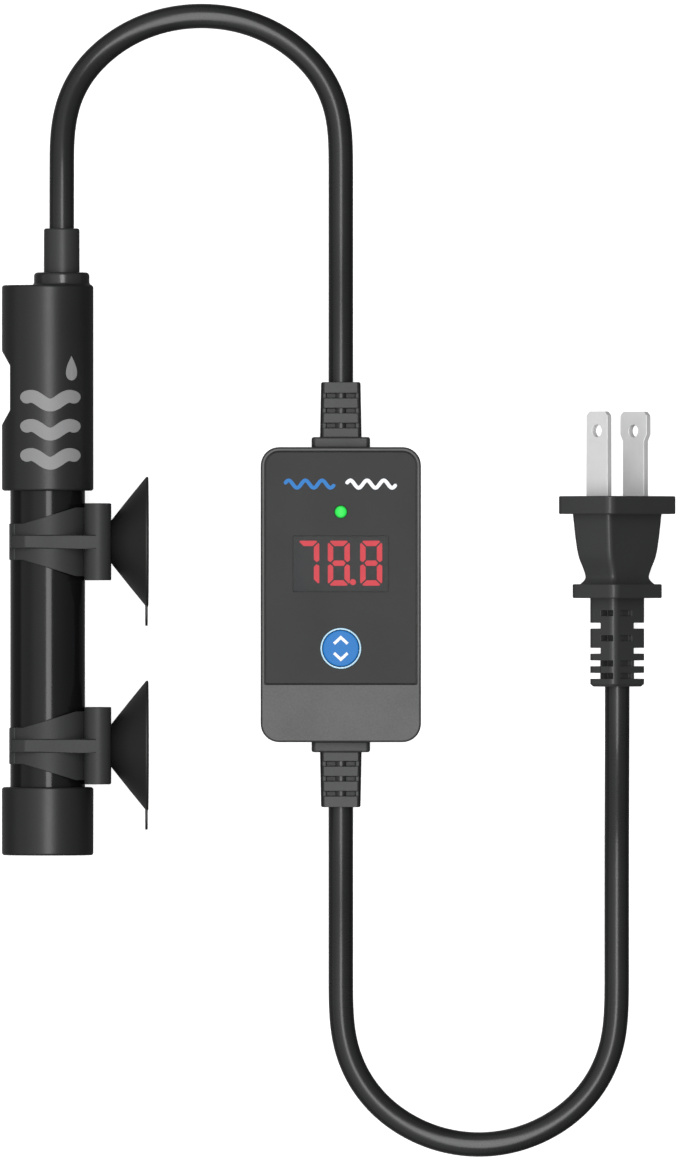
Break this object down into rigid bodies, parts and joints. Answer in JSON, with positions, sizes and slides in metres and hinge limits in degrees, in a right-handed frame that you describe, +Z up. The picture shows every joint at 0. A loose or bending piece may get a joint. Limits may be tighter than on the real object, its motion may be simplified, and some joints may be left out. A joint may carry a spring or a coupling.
{
  "type": "submersible aquarium heater",
  "caption": "Tube-shaped submersible aquarium heater with clip-on suction cups, an inline digital temperature controller and a two-blade mains plug.",
  "frame": {"origin": "on the table, under the middle of the box round the heater and the controller (cords and plug left out)", "axes": "+Y along the heater from its bottom cap to its cord, +X from the heater towards the controller, +Z up from the table that the set lies on"},
  "size_m": [0.1531, 0.2631, 0.0296],
  "materials": {
    "tube_black": "glossy, fine draw lines",
    "cap_black": "satin moulded",
    "clip_grey": "matt moulded",
    "cup_rubber": "smooth soft",
    "gland_rubber": "satin soft",
    "cord_black": "glossy jacket",
    "housing_grey": "fine grain",
    "back_black": "fine grain",
    "face_black": "smooth satin",
    "lens_smoke": "tinted clear",
    "digit_red": "lit red",
    "light_green": "lit green",
    "button_blue": "smooth",
    "mark_white": "smooth",
    "plug_black": "satin moulded",
    "carrier_white": "plain",
    "blade_nickel": "light nickel",
    "core_white": "unglazed",
    "wire_metal": "drawn wire",
    "lead_copper": "drawn wire",
    "mica_tan": "plain",
    "stopper_red": "plain",
    "cushion_pale": "plain",
    "can_silver": "plain",
    "probe_black": "plain",
    "screw_steel": "plated",
    "module_black": "plain",
    "chip_cream": "plain",
    "board_green": "lacquered",
    "relay_blue": "plain",
    "film_yellow": "plain"
  },
  "bodies": {
    "heater_set": {"heater_tube": "tube_black", "top_cap": "cap_black", "bottom_cap": "cap_black", "tube_cushion": "cushion_pale", "ceramic_core": "core_white", "heating_coil": "wire_metal", "core_spacers": "mica_tan", "return_lead": "lead_copper", "supply_lead": "lead_copper", "thermal_cutoff": "can_silver", "tube_stopper": "stopper_red", "crimp_sleeves": "wire_metal", "temperature_probe": "probe_black", "gland_grommet": "gland_rubber", "cord_boot": "gland_rubber", "heater_cord": "cord_black", "back_shell": "back_black", "front_shell": "housing_grey", "shell_seal": "stopper_red", "shell_screws": "screw_steel", "face_panel": "face_black", "display_lens": "lens_smoke", "display_segments": "digit_red", "display_module": "module_black", "power_light": "light_green", "light_chip": "chip_cream", "button_ring": "mark_white", "switch_body": "probe_black", "circuit_board": "board_green", "relay": "relay_blue", "film_capacitor": "film_yellow", "bulk_capacitor": "relay_blue", "board_fuse": "can_silver", "processor_chip": "probe_black", "board_leads": "wire_metal", "upper_relief": "gland_rubber", "lower_relief": "gland_rubber", "mains_cord": "cord_black", "plug_body": "plug_black", "blade_carrier": "carrier_white", "plug_cores": "lead_copper", "line_blade": "blade_nickel", "neutral_blade": "blade_nickel"},
    "upper_clip": {"upper_clip": "clip_grey"},
    "lower_clip": {"lower_clip": "clip_grey"},
    "upper_cup": {"upper_suction_cup": "cup_rubber"},
    "lower_cup": {"lower_suction_cup": "cup_rubber"},
    "button": {"button_cap": "button_blue", "button_arrows": "mark_white", "switch_plunger": "carrier_white"}
  },
  "joints": [
    {"name": "upper_clip_turn", "type": "hinge", "parent": "heater_set", "child": "upper_clip", "pos_m": [-0.0372, 0, 0.0148], "axis": [0, 1, 0], "continuous": true},
    {"name": "lower_clip_turn", "type": "hinge", "parent": "heater_set", "child": "lower_clip", "pos_m": [-0.0372, -0.0463, 0.0148], "axis": [0, 1, 0], "continuous": true},
    {"name": "upper_cup_swivel", "type": "hinge", "parent": "upper_clip", "child": "upper_cup", "pos_m": [-0.0242, 0, 0.0148], "axis": [1, 0, 0], "continuous": true},
    {"name": "lower_cup_swivel", "type": "hinge", "parent": "lower_clip", "child": "lower_cup", "pos_m": [-0.0242, -0.0463, 0.0148], "axis": [1, 0, 0], "continuous": true},
    {"name": "button_press", "type": "slide", "parent": "heater_set", "child": "button", "axis": [0, 0, -1], "range_m": [0, 0.0008], "stiffness_N_per_m": 1500, "springref_m": -0.0002}
  ]
}
